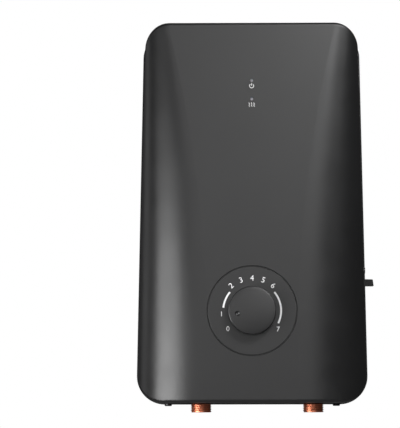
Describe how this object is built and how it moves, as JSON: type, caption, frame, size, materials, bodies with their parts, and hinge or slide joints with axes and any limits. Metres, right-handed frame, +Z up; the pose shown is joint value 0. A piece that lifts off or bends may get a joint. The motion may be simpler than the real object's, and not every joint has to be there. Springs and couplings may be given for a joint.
{
  "type": "instant water heater",
  "caption": "Wall-hung electric instant water heater with a curved cover, a temperature knob, a side breaker lever and threaded water connections below",
  "frame": {"origin": "on the wall plane, halfway up the front cover, in the middle of its width", "axes": "+Z up, +Y into the wall, +X to the right as seen from the front, so the front faces -Y"},
  "size_m": [0.2426, 0.1008, 0.3938],
  "materials": {
    "charcoal_plastic": "fine satin moulded, charcoal",
    "black_plastic": "satin moulded, black",
    "dial_plastic": "satin moulded, charcoal",
    "knob_plastic": "satin moulded, charcoal",
    "lens_plastic": "clear milky",
    "seal_rubber": "soft black",
    "dark_steel": "blackened",
    "bright_steel": "zinc plated",
    "circuit_board": "green solder mask",
    "nylon": "natural nylon",
    "relay_blue": "smooth blue",
    "capacitor_film": "smooth yellow",
    "tank_plastic": "glass-filled, dark grey",
    "valve_plastic": "glass-filled, pale grey",
    "element_steel": "drawn sheath",
    "brass": "turned",
    "copper_alloy": "turned, copper coloured",
    "copper_pipe": "drawn copper",
    "cutout_ceramic": "pale",
    "breaker_plastic": "pale grey moulded",
    "button_plastic": "smooth dark grey",
    "heat_sink": "extruded",
    "wire_brown": "brown sleeve",
    "wire_blue": "blue sleeve",
    "wire_green": "green sleeve with yellow stripe",
    "wire_grey": "grey sleeve"
  },
  "bodies": {
    "root": {"back_plate": "black_plastic", "case_seal": "seal_rubber", "cover_screws": "dark_steel", "indicator_board": "circuit_board", "indicator_diodes": "lens_plastic", "control_board": "circuit_board", "board_screws": "bright_steel", "potentiometer": "black_plastic", "relay": "relay_blue", "capacitors": "capacitor_film", "connectors": "nylon", "tank_body": "tank_plastic", "tank_seal": "seal_rubber", "tank_lid": "tank_plastic", "lid_screws": "bright_steel", "tank_screws": "bright_steel", "heating_element": "element_steel", "element_nuts": "brass", "thermal_cutout": "cutout_ceramic", "earth_stud": "brass", "outlet_connection": "copper_alloy", "inlet_connection": "copper_alloy", "inlet_strainer": "nylon", "flow_valve": "valve_plastic", "valve_screws": "bright_steel", "piston_spring": "bright_steel", "flow_switch": "black_plastic", "switch_screws": "bright_steel", "inlet_pipe": "copper_pipe", "outlet_pipe": "copper_pipe", "pipe_seals": "seal_rubber", "outlet_strap": "bright_steel", "strap_screws": "bright_steel", "temperature_sensor": "brass", "breaker_body": "breaker_plastic", "mounting_screws": "bright_steel", "breaker_bezel": "black_plastic", "lever_pin": "bright_steel", "button_spring": "bright_steel", "terminal_block": "nylon", "terminal_screws": "bright_steel", "cable_grommet": "seal_rubber", "cable_clamp": "nylon", "heat_sink": "heat_sink", "triac": "black_plastic", "live_wires": "wire_brown", "neutral_wires": "wire_blue", "earth_wire": "wire_green", "signal_leads": "wire_grey"},
    "cover": {"front_cover": "charcoal_plastic", "dial_plate": "dial_plastic", "indicator_lenses": "lens_plastic"},
    "knob": {"control_knob": "knob_plastic", "knob_clip": "bright_steel"},
    "shaft": {"potentiometer_shaft": "nylon"},
    "lever": {"breaker_lever": "black_plastic"},
    "button": {"test_button": "button_plastic"},
    "piston": {"flow_piston": "nylon"}
  },
  "joints": [
    {"name": "cover_lift_off", "type": "slide", "parent": "root", "child": "cover", "axis": [0, -1, 0], "range_m": [0, 0.11]},
    {"name": "knob_turn", "type": "hinge", "parent": "cover", "child": "knob", "pos_m": [0, -0.09, -0.0994], "axis": [0, 1, 0], "range_deg": [-22.6, 228.4]},
    {"name": "shaft_turn", "type": "hinge", "parent": "root", "child": "shaft", "pos_m": [0, -0.08, -0.0994], "axis": [0, 1, 0], "range_deg": [-22.6, 228.4]},
    {"name": "lever_swing", "type": "hinge", "parent": "root", "child": "lever", "pos_m": [0.098, -0.025, -0.069], "axis": [0, 1, 0], "range_deg": [0, 28]},
    {"name": "test_button_press", "type": "slide", "parent": "root", "child": "button", "axis": [-1, 0, 0], "range_m": [0, 0.0015], "stiffness_N_per_m": 600, "springref_m": -0.001, "deforming": ["button_spring"]},
    {"name": "flow_piston_lift", "type": "slide", "parent": "root", "child": "piston", "axis": [0, 0, 1], "range_m": [0, 0.008], "stiffness_N_per_m": 60, "springref_m": -0.004, "deforming": ["piston_spring"]}
  ],
  "couplings": [
    {"joint": "shaft_turn", "follows": "knob_turn", "ratio": 1}
  ]
}
